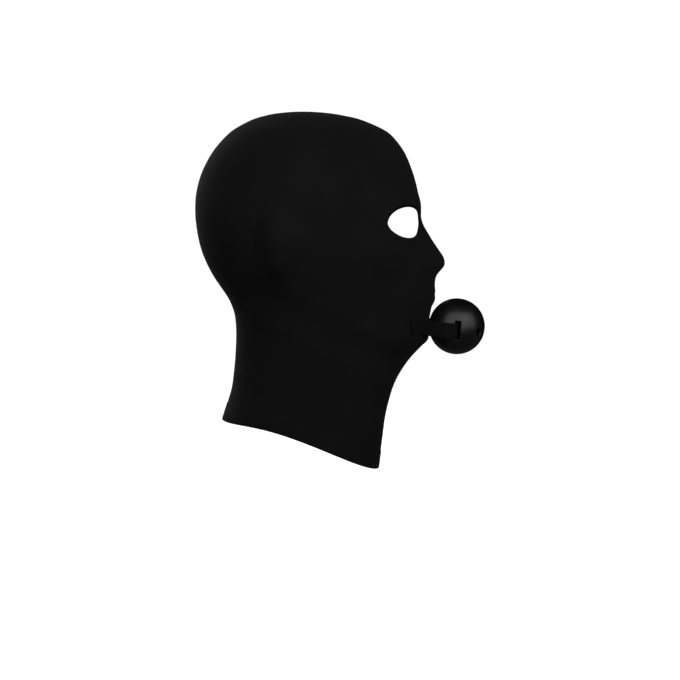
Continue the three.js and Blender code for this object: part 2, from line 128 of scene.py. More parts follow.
# The relief down the middle of the face: drop is a share of HOOD_HEIGHT, rise of NOSE_REACH, and spread,
# half its breadth, of HEAD_WIDTH.
PROFILE_COLUMNS = ("drop", "rise", "spread")
PROFILE = (
    (0.2600, 0.00, 0.10),
    (0.2922, 0.02, 0.10),
    (0.3151, 0.15, 0.10),  # bridge
    (0.3376, 0.38, 0.105),
    (0.3601, 0.60, 0.12),
    (0.3826, 0.82, 0.14),
    (0.4052, 1.00, 0.16),
    (0.4223, 0.985, 0.175),  # tip of the nose
    (0.4334, 0.87, 0.18),
    (0.4449, 0.62, 0.18),
    (0.4563, 0.38, 0.18),
    (0.4674, 0.25, 0.18),  # under the nose
    (0.4850, 0.16, 0.19),
    (0.5013, 0.15, 0.20),  # upper lip
    (0.5128, 0.11, 0.20),  # between the lips
    (0.5239, 0.13, 0.20),  # lower lip
    (0.5353, 0.08, 0.20),
    (0.5464, 0.00, 0.20),
    (0.6000, 0.00, 0.20),
)

# Swellings and hollows of both sides, in shares of HEAD_LENGTH, HEAD_WIDTH and HOOD_HEIGHT.
SWELLING_COLUMNS = ("x", "y", "drop", "ahead", "behind", "across", "above", "below", "rise")
FACE_SWELLINGS = (  # rise in shares of FACE_RELIEF
    (0.49, 0.22, 0.306, 0.16, 0.16, 0.20, 0.058, 0.062, -1.0),  # eye sockets
    (0.50, 0.12, 0.262, 0.16, 0.16, 0.24, 0.045, 0.040, 0.45),  # brow
    (0.38, 0.38, 0.392, 0.16, 0.16, 0.22, 0.070, 0.080, 0.80),  # cheekbones
    (0.38, 0.34, 0.485, 0.16, 0.18, 0.20, 0.070, 0.080, -0.45),  # hollows of the cheeks
)
EAR_SWELLINGS = (  # rise in shares of EAR_RISE
    (-0.105, 0.48, 0.365, 0.17, 0.085, 0.40, 0.105, 0.105, 1.0),  # ears
    (-0.088, 0.44, 0.440, 0.09, 0.060, 0.30, 0.060, 0.046, 0.42),  # lobes
)
# The groove under the jaw, in shares of HEAD_LENGTH and HOOD_HEIGHT
JAW = {"back_x": -0.2, "back_drop": 0.505, "front_x": 0.36, "front_drop": 0.69, "reach": 0.062}

# How finely the visual surfaces are made
RINGS = 176
COLUMNS = 196  # even number
FACE_CROWDING = 0.35
SEAM_COLUMNS = (0.0016, 0.0034, 0.006, 0.0095, 0.0145)  # extra turns beside the middle seam
RIM_STEPS = 5
SLOPE_STEP = 0.004  # of a level or a turn
RING_GUIDES = (0.02, 0.3, 0.98)  # turns down which the rings are spaced evenly, on average
GUIDE_POINTS = 600
SEAM_MARGIN = 1.3  # how far the even columns keep from the middle seam's own, as a ratio
WEAVE_RING = 0.4  # share of the levels at which the knit's breadth is measured
WEAVE_POINTS = 300
HALVINGS = 30  # of the interval in which a level or a turn is looked for
EDGE_HALVINGS = 24  # of the interval in which a point near an edge is
FAR_RATIO = 9  # the ratio to an eye hole's edge that points on the back are given
FAR_AWAY = 1.0  # and a distance beyond any on the hood
LEAST_RATIO = 0.05


def columns_of(names, rows):
    """The columns of a table by name."""
    return {name: np.array([row[i] for row in rows], float) for i, name in enumerate(names)}


SECTION = columns_of(SECTION_COLUMNS, SECTIONS)
MIDDLE = columns_of(PROFILE_COLUMNS, PROFILE)
SWELLINGS = [
    dict(zip(SWELLING_COLUMNS, (*row[:-1], row[-1] * measure)))
    for rows, measure in ((FACE_SWELLINGS, FACE_RELIEF), (EAR_SWELLINGS, EAR_RISE))
    for row in rows
]


def smooth(values, place):
    """Catmull-Rom value of a column at places between its rows."""
    last = len(values) - 1
    ends = (2 * values[0] - values[1], 2 * values[-1] - values[-2])
    padded = np.concatenate(([ends[0]], values, [ends[1]]))
    i = np.clip(np.floor(place).astype(int), 0, last - 1)
    t = place - i
    before, here, after, beyond = (padded[i + k] for k in range(4))
    bend = 2 * before - 5 * here + 4 * after - beyond
    twist = 3 * (here - after) + beyond - before
    return here + 0.5 * t * (after - before + t * (bend + t * twist))


def bump(s):
    """1 in the middle, falling to 0 where s reaches 1."""
    return np.where(np.abs(s) < 1, (1 - np.minimum(s * s, 1)) ** 2, 0)


def step(s):
    """0 below 0, 1 above 1, and smooth between."""
    s = np.clip(s, 0, 1)
    return s * s * (3 - 2 * s)


def unit(v):
    """Vectors of length 1."""
    return v / np.maximum(np.linalg.norm(v, axis=-1, keepdims=True), 1e-12)


def run_along(path):
    """How far each point of a path lies from its first, along it."""
    return np.concatenate([[0], np.cumsum(np.linalg.norm(np.diff(path, axis=0), axis=1))])


def last_passing(low, high, test, halvings=HALVINGS):
    """The values between low and high up to which a test passes."""
    for _ in range(halvings):
        middle = (low + high) / 2
        passed = test(middle)
        low, high = np.where(passed, middle, low), np.where(passed, high, middle)
    return low


def plain_point(level, turn, side):
    """The plain form, at levels from the crown to the hem and turns from the face to the back."""
    place = np.maximum(level - 1, 0)
    value = {name: smooth(SECTION[name], place) for name in SECTION_COLUMNS}
    cap = np.minimum(level, 1)
    front, back, widest = (value[name] * HEAD_LENGTH for name in ("front", "back", "widest"))
    cos, sin = np.cos(np.pi * turn), np.sin(np.pi * turn)
    power = 2 / np.where(cos >= 0, value["blunt_front"], value["blunt_back"])
    reach = np.where(cos >= 0, front, back) - widest
    along = widest + reach * np.abs(cos) ** power
    out = value["half"] * HEAD_WIDTH * np.abs(sin) ** power
    share = (along - back) / (front - back)
    flat = HOOD_HEIGHT * (value["back_drop"] + share * (value["front_drop"] - value["back_drop"]))
    near_hem = np.maximum(level / HEM - HEM_START, 0) / (1 - HEM_START)
    lift = HEM_WAVE * np.sin(2 * np.pi * share) + HEM_RISE * np.abs(sin) ** (3 * power)
    drop = flat - lift * near_hem
    return np.stack([along * cap, side * out * cap, FABRIC - drop * cap * cap], -1)


def profile_rise(p):
    """How far the nose and lips stand forward of the sections."""
    drop = (FABRIC - p[..., 2]) / HOOD_HEIGHT
    place = np.interp(drop, MIDDLE["drop"], np.arange(len(PROFILE)))
    spread = HEAD_WIDTH * smooth(MIDDLE["spread"], place)
    rise = NOSE_REACH * smooth(MIDDLE["rise"], place) * bump(p[..., 1] / spread)
    on_face = (p[..., 0] > 0) & (drop > MIDDLE["drop"][0]) & (drop < MIDDLE["drop"][-1])
    return np.where(on_face, rise, 0)


def relief_at(p):
    """How far swellings and the jaw's groove lift a point of the plain form along its normal."""
    drop = (FABRIC - p[..., 2]) / HOOD_HEIGHT
    lift = np.zeros(drop.shape)
    for s in SWELLINGS:
        dx = p[..., 0] / HEAD_LENGTH - s["x"]
        dy = np.abs(p[..., 1]) / HEAD_WIDTH - s["y"]
        dz = drop - s["drop"]
        along_x = dx / np.where(dx > 0, s["ahead"], s["behind"])
        along_z = dz / np.where(dz > 0, s["below"], s["above"])
        lift += s["rise"] * bump(np.sqrt(along_x**2 + (dy / s["across"]) ** 2 + along_z**2))
    start = np.array([JAW["back_x"] * HEAD_LENGTH, JAW["back_drop"] * HOOD_HEIGHT])
    run = np.array([JAW["front_x"] * HEAD_LENGTH, JAW["front_drop"] * HOOD_HEIGHT]) - start
    place = np.stack([p[..., 0], drop * HOOD_HEIGHT], -1)
    along = np.clip((place - start) @ run / (run @ run), 0, 1)
    away = np.linalg.norm(place - start - along[..., None] * run, axis=-1)
    return lift - JAW_GROOVE * bump(away / (JAW["reach"] * HOOD_HEIGHT))


def normal_of(surface, level, turn, side):
    """The outward normal of a surface function."""
    low, high = np.maximum(turn - SLOPE_STEP, 0), np.minimum(turn + SLOPE_STEP, 1)
    down = surface(level + SLOPE_STEP, turn, side) - surface(np.maximum(level - SLOPE_STEP, 0), turn, side)
    round_ = surface(level, high, side) - surface(level, low, side)
    on_middle = (turn <= 0) | (turn >= 1)
    round_[..., 0] = np.where(on_middle, 0, round_[..., 0])
    normal = unit(np.cross(down, round_) * np.asarray(side)[..., None])
    normal[..., 1] = np.where(on_middle, 0, normal[..., 1])
    return unit(normal)


def form_point(level, turn, side):
    """A point of the hood's form, without the relief of its sewing."""
    p = plain_point(level, turn, side)
    p = p + normal_of(plain_point, level, turn, side) * relief_at(p)[..., None]
    p[..., 0] += profile_rise(p)
    return p


def find_level(turn, side, height):
    """The level at which the form is at a height."""

    def above(level):
        return form_point(level, turn, side)[..., 2] > height

    return last_passing(np.zeros_like(turn), np.full_like(turn, HEM), above)


def find_turn(y, height):
    """The turn at which the left side of the form is at a distance y from the middle."""
    side = np.ones(1)

    def nearer(turn):
        return form_point(find_level(turn, side, height), turn, side)[..., 1] < y

    return last_passing(np.zeros(1), np.full(1, 0.5), nearer)


def eye_frame(side):
    """The middle of an eye hole, and the unit directions across it, up it and out of it."""
    height = FABRIC - EYE_DROP * HOOD_HEIGHT
    turn = find_turn(EYE_SPACING / 2, height)
    sides = np.full(1, float(side))
    middle = form_point(find_level(turn, sides, height), turn, sides)[0]
    out = np.array([math.cos(EYE_TURN), side * math.sin(EYE_TURN), 0])
    across = np.array([-side * math.sin(EYE_TURN), math.cos(EYE_TURN), 0])
    return middle, across, np.array([0.0, 0, 1]), out


EYES = {side: eye_frame(side) for side in (1, -1)}


def eye_place(p, side):
    """Where points lie from an eye hole's middle: across, up, and the ratio to its edge (1 on the edge)."""
    middle, across, up, _ = EYES[side]
    a, b = (p - middle) @ across, (p - middle) @ up
    ratio = np.hypot(a / (EYE_WIDTH / 2), b / (EYE_HEIGHT / 2))
    return a, b, np.where(p[..., 0] > 0, ratio, FAR_RATIO)


def from_eyes(p):
    """Distance outside the nearer eye hole's edge."""
    away = np.full(p.shape[:-1], FAR_AWAY)
    for side in EYES:
        a, b, ratio = eye_place(p, side)
        away = np.minimum(away, np.hypot(a, b) * (1 - 1 / np.maximum(ratio, LEAST_RATIO)))
    return away


def eye_ratio(p):
    """The ratio to the nearer eye hole's edge (1 on the edge)."""
    return np.minimum(eye_place(p, 1)[2], eye_place(p, -1)[2])


def fold_lift(away, band, rows):
    """The rise of a turned edge and the dents of its rows of stitches, by distance from the edge."""
    lift = FOLD_RISE * step((band + FOLD_SLOPE - away) / FOLD_SLOPE)
    for row in rows:
        lift = lift - ROW_DENT * bump((away - row) / ROW_REACH)
    return lift


def fabric_point(level, turn, side):
    """A point of the fabric's outer face, with its turned edges and its middle seam."""
    p = form_point(level, turn, side)
    hem = form_point(np.full_like(level, HEM), turn, side)
    from_hem = np.linalg.norm(p - hem, axis=-1)
    lift = fold_lift(from_hem, HEM_BAND, HEM_ROWS) + fold_lift(from_eyes(p), EYE_BAND, EYE_ROWS)
    lift = lift - SEAM_DEPTH * bump(p[..., 1] / SEAM_HALF)
    return p + normal_of(form_point, level, turn, side) * lift[..., None]


def level_rings():
    """Levels that lie about evenly down the hood."""
    dense = np.linspace(0, HEM, GUIDE_POINTS)
    ones = np.ones_like(dense)
    gone = [run_along(form_point(dense, ones * turn, ones)) for turn in RING_GUIDES]
    share = sum(g / g[-1] for g in gone) / len(gone)
    return np.interp(np.linspace(0, 1, RINGS + 1)[1:], share, dense)


def turn_columns():
    """Turns and sides of the columns, from the middle of the face round the left side and back."""
    even = np.linspace(0, 1, COLUMNS // 2 + 1)
    turns = even - FACE_CROWDING * np.sin(np.pi * even) / np.pi
    extra = [*SEAM_COLUMNS, *(1 - t for t in SEAM_COLUMNS)]
    keep = [t for t in turns if min(t, 1 - t) == 0 or min(t, 1 - t) > max(SEAM_COLUMNS) * SEAM_MARGIN]
    left = np.array(sorted([*keep, *extra]))
    right = left[1:-1][::-1]
    return np.concatenate([left, right]), np.concatenate([np.ones(len(left)), -np.ones(len(right))])


def edge_crossings(level, turn, side, cut):
    """Parameters of the points where grid edges cross the eye holes' edges, by edge."""
    rows, columns = cut.shape
    ends = []
    for i in range(rows):
        for j in range(columns):
            for k, m in ((i + 1, j), (i, j + 1)):
                if k < rows and m < columns and cut[i, j] != cut[k, m]:
                    ends.append(((i, j), (k, m)) if cut[k, m] else ((k, m), (i, j)))
    kept = tuple(np.array([e[0] for e in ends]).T)
    gone = tuple(np.array([e[1] for e in ends]).T)
    sides = side[kept]

    def along(t):
        return (a[kept] + (a[gone] - a[kept]) * t for a in (level, turn))

    def outside(t):
        return eye_ratio(form_point(*along(t), sides)) >= 1

    levels, turns = along(last_passing(np.zeros(len(ends)), np.ones(len(ends)), outside, EDGE_HALVINGS))
    return [frozenset(e) for e in ends], levels, turns, sides


def new_object(name, data):
    """An object in the scene."""
    made = bpy.data.objects.new(name, data)
    bpy.context.scene.collection.objects.link(made)
    return made


def new_mesh(name, points, faces, material):
    """An object with smooth faces from points and lists of corners."""
    mesh = bpy.data.meshes.new(name)
    mesh.from_pydata([tuple(map(float, p)) for p in points], [], faces)
    mesh.validate()
    mesh.update()
    mesh.polygons.foreach_set("use_smooth", [True] * len(mesh.polygons))
    if material:
        mesh.materials.append(material)
    return new_object(name, mesh)


def set_uv(piece, places):
    """A UV map in metres, from one place for each vertex."""
    layer = piece.data.uv_layers.new(name="weave")
    corners = np.empty(len(piece.data.loops), int)
    piece.data.loops.foreach_get("vertex_index", corners)
    layer.data.foreach_set("uv", np.asarray(places, float)[corners].ravel())


def hood_grid():
    """Parameters of the fabric's grid of points."""
    levels = level_rings()
    turns, sides = turn_columns()
    shape = (len(levels), len(turns))
    level = np.repeat(levels[:, None], shape[1], 1)
    return level, np.broadcast_to(turns, shape).copy(), np.broadcast_to(sides, shape).copy()


def cut_faces(cut, crossing):
    """The grid's faces outside the eye holes. Those across an edge end on it."""
    rows, columns = cut.shape
    faces = []
    for i in range(rows - 1):
        for j in range(columns):
            k = (j + 1) % columns
            corners = [(i, j), (i + 1, j), (i + 1, k), (i, k)]
            if not any(cut[c] for c in corners):
                faces.append([a * columns + b for a, b in corners])
                continue
            face = []
            for here, after in zip(corners, corners[1:] + corners[:1]):
                if not cut[here]:
                    face.append(here[0] * columns + here[1])
                if cut[here] != cut[after]:
                    face.append(crossing[frozenset((here, after))])
            if len(face) > 2:
                faces.append(face)
    return faces


def make_hood(material):
    """The hood: outer face, inner face and rounded edges, with the eye holes cut along their ovals."""
    level, turn, side = hood_grid()
    columns = level.shape[1]
    cut = eye_ratio(form_point(level, turn, side)) < 1
    edges, edge_levels, edge_turns, edge_sides = edge_crossings(level, turn, side, cut)
    levels = np.concatenate([level.ravel(), edge_levels])
    turns = np.concatenate([turn.ravel(), edge_turns])
    sides = np.concatenate([side.ravel(), edge_sides])
    outer = fabric_point(levels, turns, sides)
    normals = normal_of(fabric_point, levels, turns, sides)
    outer = np.vstack([outer, [0, 0, FABRIC]])
    normals = np.vstack([normals, [0, 0, 1]])
    crown = len(outer) - 1
    faces = cut_faces(cut, {edge: cut.size + n for n, edge in enumerate(edges)})
    faces += [[crown, j, (j + 1) % columns] for j in range(columns)]
    points, all_faces, source = wall_of(outer, normals, faces)
    piece = new_mesh("hood_fabric", points, all_faces, material)
    set_uv(piece, weave_places(np.append(levels, 0), np.append(turns, 0), np.append(sides, 1))[source])
    return piece


def weave_places(level, turn, side):
    """Where the knit's columns and courses lie at points of the fabric, in metres round it and down it."""
    dense = np.linspace(0, 1, WEAVE_POINTS)
    ones = np.ones_like(dense)
    round_ = run_along(form_point(ones * HEM * WEAVE_RING, dense, ones))
    down = run_along(form_point(dense * HEM, ones / 2, ones))
    return np.stack([side * np.interp(turn, dense, round_), np.interp(level / HEM, dense, down)], -1)


def open_edges(outer, normals, faces):
    """The edges with a face on one side only, and the ways out of the fabric at their points."""
    owners = {}
    for face in faces:
        for a, b in zip(face, face[1:] + face[:1]):
            owners[(a, b)] = face
    border = [(a, b) for a, b in owners if (b, a) not in owners]
    outwards = {}
    for a, b in border:
        face_middle = outer[owners[(a, b)]].mean(0)
        away = np.cross(outer[b] - outer[a], normals[a] + normals[b])
        if away @ (outer[a] - face_middle) < 0:
            away = -away
        for v in (a, b):
            outwards[v] = outwards.get(v, 0) + unit(away)
    return border, outwards


def wall_of(outer, normals, faces):
    """A wall of fabric from its outer face: an inner face and edges rounded like a fold."""
    used = sorted({v for face in faces for v in face})
    number = {v: n for n, v in enumerate(used)}
    faces = [[number[v] for v in face] for face in faces]
    outer, normals = outer[used], normals[used]
    inner = outer - normals * FABRIC
    count = len(outer)
    points = [*outer, *inner]
    all_faces = faces + [[v + count for v in reversed(face)] for face in faces]
    border, outwards = open_edges(outer, normals, faces)
    arcs = {}
    source = [*used, *used]
    for v, away in outwards.items():
        middle, half = (outer[v] + inner[v]) / 2, (outer[v] - inner[v]) / 2
        tip = unit(away - normals[v] * (away @ normals[v])) * FABRIC / 2
        arc = []
        for s in range(1, RIM_STEPS):
            angle = math.pi * s / RIM_STEPS
            arc.append(len(points))
            source.append(used[v])
            points.append(middle + half * math.cos(angle) + tip * math.sin(angle))
        arcs[v] = [v, *arc, v + count]
    for a, b in border:
        for s in range(RIM_STEPS):
            all_faces.append([arcs[b][s], arcs[a][s], arcs[a][s + 1], arcs[b][s + 1]])
    return points, all_faces, source


BALL_SEARCH = 0.05  # of a level, between the places where the ball may touch the fabric


def ball_middle():
    """The ball's middle: at its drop on the face, a clearance in front of the fabric."""
    z = FABRIC - BALL_DROP * HOOD_HEIGHT
    radius = BALL_DIAMETER / 2
    level = np.arange(0, HEM, BALL_SEARCH)
    p = form_point(level, np.zeros_like(level), np.ones_like(level))
    near = np.abs(p[:, 2] - z) < radius
    x = p[near, 0] + np.sqrt(radius**2 - (p[near, 2] - z) ** 2)
    return np.array([x.max() + CLEARANCE, 0, z])


BALL = ball_middle()


def nod(p):
    """Turns a point of the ball's own frame as far as the ball nods on its strap."""
    x, y, z = np.moveaxis(np.asarray(p, float), -1, 0)
    cos, sin = math.cos(BALL_PITCH), math.sin(BALL_PITCH)
    return np.stack([x * cos + z * sin, y, z * cos - x * sin], -1)


# Details of the ball and the strap
LIP = 0.45 * MM  # rounding of the edges of the slots and holes
FLARE_WIDE, FLARE_HIGH = 1.2, 4  # where the cutters start outside the ball, in LIP
SLOT_CORNER = 0.9 * MM
CORNER_STEPS = 6
HOLE_SIDES = 36
BALL_SHARP = math.radians(48)  # edges of the ball that turn more than this stay sharp
PARTING_DEPTH = 0.1 * MM  # the line where the ball's two halves are joined, on its middle plane
PARTING_HALF = 0.35 * MM
BALL_ROUND = 112
BALL_RINGS = 72
BALL_LINE = (0.2, 0.5, 0.85, 1.4)  # extra rings beside the parting line, in PARTING_HALF
STRAP_EDGE = 0.9  # share of half the width where the rounding of the strap's edge starts
STRAP_LINE = 0.72  # share of half the width where the strap's sewn line runs
STRAP_LINE_DEPTH = 0.16 * MM
STRAP_LINE_HALF = 0.05  # share of half the width
STRAP_LINE_SPREAD = 0.07  # share of half the width, on either side of the line, that has finer faces
STRAP_SHARP = math.radians(60)
SEWN_GAP = 0.05 * MM  # between the strap's sewn end and the hood
BOW_STEPS = 6
BEND_STEPS = 10
RUN_STEPS = 28
TAB_STEPS = 10
TAB_SEARCH = 0.12  # of a turn, in which the whole sewn end lies
TAB_POINTS = 200
CURVE_STEP = 0.001  # of the run from the ball to the cheek


def sphere(radius, line_depth):
    """Points and faces of a sphere with its poles on the slots, and a fine line round its middle plane."""
    even = np.linspace(0, np.pi, BALL_RINGS + 1)[1:-1]
    beside = np.array([sign * share for share in BALL_LINE for sign in (1, -1)]) * PARTING_HALF / radius
    angles = np.array(sorted([*even, *(np.pi / 2 + beside)]))
    turns = np.arange(BALL_ROUND) * 2 * np.pi / BALL_ROUND
    y = np.cos(angles)[:, None] * np.ones(BALL_ROUND)
    out = np.sin(angles)[:, None]
    ring = np.stack([out * np.cos(turns), y, out * np.sin(turns)], -1)
    reach = radius - line_depth * bump(y * radius / PARTING_HALF)
    points = [*(ring * reach[..., None]).reshape(-1, 3), (0, radius, 0), (0, -radius, 0)]
    count = len(angles)
    faces = []
    first, last = len(points) - 2, len(points) - 1
    for j in range(BALL_ROUND):
        k = (j + 1) % BALL_ROUND
        faces.append([first, k, j])
        faces.append([last, (count - 1) * BALL_ROUND + j, (count - 1) * BALL_ROUND + k])
        for i in range(count - 1):
            a, b = i * BALL_ROUND, (i + 1) * BALL_ROUND
            faces.append([a + j, a + k, b + k, b + j])
    return points, faces


def lipped_cutter(name, outline, outwards, axis, across):
    """A bar from inside the ball to outside it, which flares at the ball's outer face to round the edge."""
    up = np.array([0, 0, 1.0])
    middle = -SLOT_LOW * up
    radius = BALL_DIAMETER / 2
    rings = []
    quarter = np.linspace(0, np.pi / 2, CORNER_STEPS + 1)
    flare = [(LIP * FLARE_WIDE, -LIP * FLARE_HIGH)]
    flare += [(LIP * (1 - math.sin(a)), LIP * (1 - math.cos(a))) for a in quarter]
    for offset, depth in flare:
        flat = outline + outwards * offset
        base = middle + flat[:, :1] * across + flat[:, 1:] * up
        along = base @ axis
        reach = -along + np.sqrt(along**2 + radius**2 - (base * base).sum(1))
        rings.append(base + (reach - depth)[:, None] * axis)
    rings.append(middle + outline[:, :1] * across + outline[:, 1:] * up)
    count = len(outline)
    faces = [list(range(count)), [(len(rings) - 1) * count + j for j in reversed(range(count))]]
    for i in range(len(rings) - 1):
        for j in range(count):
            k = (j + 1) % count
            faces.append([i * count + k, i * count + j, (i + 1) * count + j, (i + 1) * count + k])
    piece = new_mesh(name, np.concatenate(rings), faces, None)
    outward_faces(piece)
    return piece


def outward_faces(piece):
    """Turns a closed mesh's faces outwards."""
    shape = bmesh.new()
    shape.from_mesh(piece.data)
    bmesh.ops.recalc_face_normals(shape, faces=shape.faces)
    shape.to_mesh(piece.data)
    shape.free()


def slot_outline():
    """A slot's rounded oblong, as points and outward directions."""
    half = np.array([(STRAP_THICKNESS + SLOT_GAP) / 2, (STRAP_WIDTH + SLOT_PLAY) / 2])
    points, outwards = [], []
    for corner in range(4):
        signs = np.array([(1, 1), (-1, 1), (-1, -1), (1, -1)][corner])
        for angle in np.linspace(0, np.pi / 2, CORNER_STEPS + 1) + corner * np.pi / 2:
            out = np.array([math.cos(angle), math.sin(angle)])
            points.append(signs * (half - SLOT_CORNER) + out * SLOT_CORNER)
            outwards.append(out)
    return np.array(points), np.array(outwards)


def hole_outline():
    """A breathing hole's circle, as points and outward directions."""
    turns = np.arange(HOLE_SIDES) * 2 * np.pi / HOLE_SIDES
    outwards = np.stack([np.cos(turns), np.sin(turns)], -1)
    return outwards * BREATH_HOLE / 2, outwards


def ball_cutters():
    """Cutters for the two slots and the six breathing holes."""
    cutters = []
    for side in (1, -1):
        axis, across = np.array([0, side, 0.0]), np.array([1.0, 0, 0])
        cutters.append(lipped_cutter("slot_cutter", *slot_outline(), axis, across))
    for row in (0, math.pi):
        for turn in (-HOLE_TURN, 0, HOLE_TURN):
            axis = np.array([math.cos(row + turn), math.sin(row + turn), 0])
            across = np.array([-axis[1], axis[0], 0])
            cutters.append(lipped_cutter("hole_cutter", *hole_outline(), axis, across))
    return cutters


def baked(piece):
    """Replaces a piece's mesh by what its modifiers make of it, and removes them."""
    evaluated = piece.evaluated_get(bpy.context.evaluated_depsgraph_get())
    mesh = bpy.data.meshes.new_from_object(evaluated)
    piece.modifiers.clear()
    piece.data = mesh
    return piece


def make_ball(material):
    """The hollow ball, with its slots and breathing holes, in its place on the strap."""
    outer, outer_faces = sphere(BALL_DIAMETER / 2, PARTING_DEPTH)
    inner, inner_faces = sphere(BALL_DIAMETER / 2 - BALL_WALL, 0)
    faces = outer_faces + [[v + len(outer) for v in reversed(face)] for face in inner_faces]
    piece = new_mesh("ball_shell", [*outer, *inner], faces, material)
    cutters = ball_cutters()
    for cutter in cutters:
        cut = piece.modifiers.new("cut", "BOOLEAN")
        cut.solver = "EXACT"
        cut.operation = "DIFFERENCE"
        cut.object = cutter
    baked(piece)
    for cutter in cutters:
        bpy.data.objects.remove(cutter)
    mesh = piece.data
    places = np.array([v.co for v in mesh.vertices])
    mesh.vertices.foreach_set("co", (nod(places) + BALL).ravel())
    mesh.polygons.foreach_set("use_smooth", [True] * len(mesh.polygons))
    mesh.set_sharp_from_angle(angle=BALL_SHARP)
    mesh.update()
    return piece


def tab_stations():
    """Top, middle and bottom of the sewn end on the left cheek, with their outward directions."""
    z = FABRIC - TAB_DROP * HOOD_HEIGHT
    first = find_turn(BALL_DIAMETER / 2 - TAB_INSET, z)[0]
    turns = np.linspace(first, first + TAB_SEARCH, TAB_POINTS)
    ones = np.ones_like(turns)
    gone = run_along(form_point(find_level(turns, ones, z), turns, ones))
    picked = np.interp(np.linspace(0, TAB_LENGTH, TAB_STEPS + 1), gone, turns)
    side = np.ones_like(picked)
    rows = []
    for up in (1, 0, -1):
        level = find_level(picked, side, z + up * STRAP_WIDTH / 2)
        normal = normal_of(form_point, level, picked, side)
        rows.append((form_point(level, picked, side) + normal * SEWN_GAP, normal))
    return [tuple((p[i], n[i]) for p, n in rows) for i in range(TAB_STEPS + 1)]


def straight_station(middle, up, outward):
    """Top, middle and bottom of a flat stretch of the strap, with its outward direction."""
    return tuple((middle + up * side * STRAP_WIDTH / 2, outward) for side in (1, 0, -1))


def bezier(points, t):
    """A point of a cubic curve from its four control points."""
    a, b, c, d = points
    return a * (1 - t) ** 3 + 3 * b * t * (1 - t) ** 2 + 3 * c * t * t * (1 - t) + d * t**3


def half_strap():
    """Stations from the middle of the ball to the sewn end on the left cheek."""
    up = nod((0, 0, 1))
    x = CLEARANCE - (STRAP_THICKNESS + SLOT_GAP) / 2  # against the rear edge of the slot
    z = CLEARANCE - SLOT_LOW - SLOT_PLAY / 2  # at the foot of the slot
    lip = math.sqrt((BALL_DIAMETER / 2) ** 2 - ((STRAP_THICKNESS + SLOT_GAP) / 2) ** 2)
    stations = []
    for share in np.linspace(0, 1, BOW_STEPS + 1)[:-1]:
        slack = 1 - share**2
        middle = nod((x + STRAP_BOW * slack, lip * share, z + STRAP_LIFT * slack)) + BALL
        stations.append(straight_station(middle, up, nod((1, 0, 0))))
    for angle in np.linspace(0, np.pi / 2, BEND_STEPS + 1):
        outward = nod((math.cos(angle), math.sin(angle), 0))
        middle = nod((x - STRAP_BEND, lip, z)) + BALL + outward * STRAP_BEND
        stations.append(straight_station(middle, up, outward))
    tab = tab_stations()
    (top, _), (middle, _), (bottom, _) = tab[0]
    start = nod((x - STRAP_BEND, lip + STRAP_BEND, z)) + BALL
    reach = start[0] - middle[0]
    along = unit(middle - tab[1][1][0])
    curve = (start, start - (reach / 2, 0, 0), middle + along * reach / 8, middle)
    for t in np.linspace(0, 1, RUN_STEPS + 1)[1:-1]:
        across = unit(up + (unit(top - bottom) - up) * t)
        tangent = bezier(curve, t + CURVE_STEP) - bezier(curve, t - CURVE_STEP)
        outward = unit(np.cross(tangent, across))
        stations.append(straight_station(bezier(curve, t), across, outward))
    return stations + tab


def mirrored(station):
    """A station of the left side, on the right."""
    flip = np.array([1, -1, 1])
    return tuple((p * flip, n * flip) for p, n in station)


def strap_stations():
    """Stations of the whole strap, from the right cheek to the left."""
    left = half_strap()
    return [mirrored(s) for s in reversed(left[1:])] + left


def on_strap(station, share, height):
    """A point at a share of half the strap's width above its middle, and a height above its inner face."""
    (top, n_top), (middle, n_middle), (bottom, n_bottom) = station
    p = middle + (top - bottom) / 2 * share + ((top + bottom) / 2 - middle) * share**2
    n = unit(n_middle + (n_top - n_bottom) / 2 * share + ((n_top + n_bottom) / 2 - n_middle) * share**2)
    return p + n * height, n


def strap_section():
    """The strap's section: shares of half its width and heights above its inner face, all the way round."""
    rounding = np.sin(np.linspace(0, np.pi / 2, CORNER_STEPS))
    edge = STRAP_EDGE + (1 - STRAP_EDGE) * rounding
    line = STRAP_LINE + np.linspace(-STRAP_LINE_SPREAD, STRAP_LINE_SPREAD, 7)
    half = np.concatenate([[0, 0.25, 0.5], line, edge])
    shares = np.concatenate([-half[:0:-1], half])
    past = np.clip((np.abs(shares) - STRAP_EDGE) / (1 - STRAP_EDGE), 0, 1)
    swell = STRAP_THICKNESS / 2 * np.sqrt(1 - past**2)
    groove = STRAP_LINE_DEPTH * bump((np.abs(shares) - STRAP_LINE) / STRAP_LINE_HALF)
    over = list(zip(shares, STRAP_THICKNESS / 2 + swell - groove))
    under = list(zip(shares, STRAP_THICKNESS / 2 - swell))
    return over + under[-2:0:-1]


def make_strap(material):
    """The strap from the right cheek through the ball to the left cheek."""
    stations, section = strap_stations(), strap_section()
    count = len(section)
    points = [on_strap(s, share, height)[0] for s in stations for share, height in section]
    faces = []
    for i in range(len(stations) - 1):
        for j in range(count):
            k = (j + 1) % count
            faces.append([i * count + j, i * count + k, (i + 1) * count + k, (i + 1) * count + j])
    last = (len(stations) - 1) * count
    faces += [list(reversed(range(count))), [last + j for j in range(count)]]
    piece = new_mesh("strap_band", points, faces, material)
    outward_faces(piece)
    gone = run_along(np.array([s[1][0] for s in stations]))
    set_uv(piece, [(share * STRAP_WIDTH / 2, along) for along in gone for share, _ in section])
    piece.data.set_sharp_from_angle(angle=STRAP_SHARP)
    return piece


# Sewing
STITCH_PITCH = 2.6 * MM
STITCH_LENGTH = 2.0 * MM
STITCH_THREAD = 0.42 * MM
STITCH_SINK = 0.06 * MM  # how deep a stitch's middle lies under the fabric's face
HEM_SEARCH = 4  # levels above the hem in which its stitches lie
EYE_ROW_POINTS = 96


